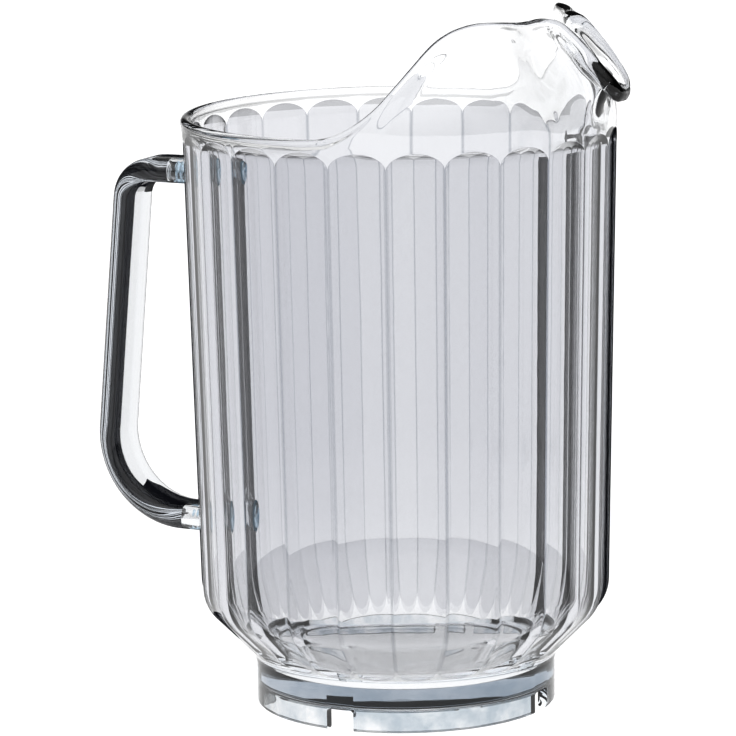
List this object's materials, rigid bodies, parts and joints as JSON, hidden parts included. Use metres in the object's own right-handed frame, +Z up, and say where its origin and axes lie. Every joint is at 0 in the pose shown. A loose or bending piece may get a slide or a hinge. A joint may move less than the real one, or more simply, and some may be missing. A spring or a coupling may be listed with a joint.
{
  "type": "beer pitcher",
  "caption": "Clear fluted beer pitcher on a notched foot, with a domed splash hood, a pinched pouring beak and a strap handle fixed by screws from inside.",
  "frame": {"origin": "On the vessel's axis at the table: the middle of the foot's underside", "axes": "+Z up, +X towards the pouring beak, -X towards the handle, +Y across"},
  "size_m": [0.1774, 0.1316, 0.2121],
  "materials": {
    "clear_plastic": "polished, water clear",
    "screw_steel": "plain stainless",
    "washer_rubber": "smooth"
  },
  "bodies": {
    "root": {"body": "clear_plastic", "handle": "clear_plastic", "upper_handle_screw": "screw_steel", "lower_handle_screw": "screw_steel", "upper_sealing_washer": "washer_rubber", "lower_sealing_washer": "washer_rubber"}
  },
  "joints": []
}
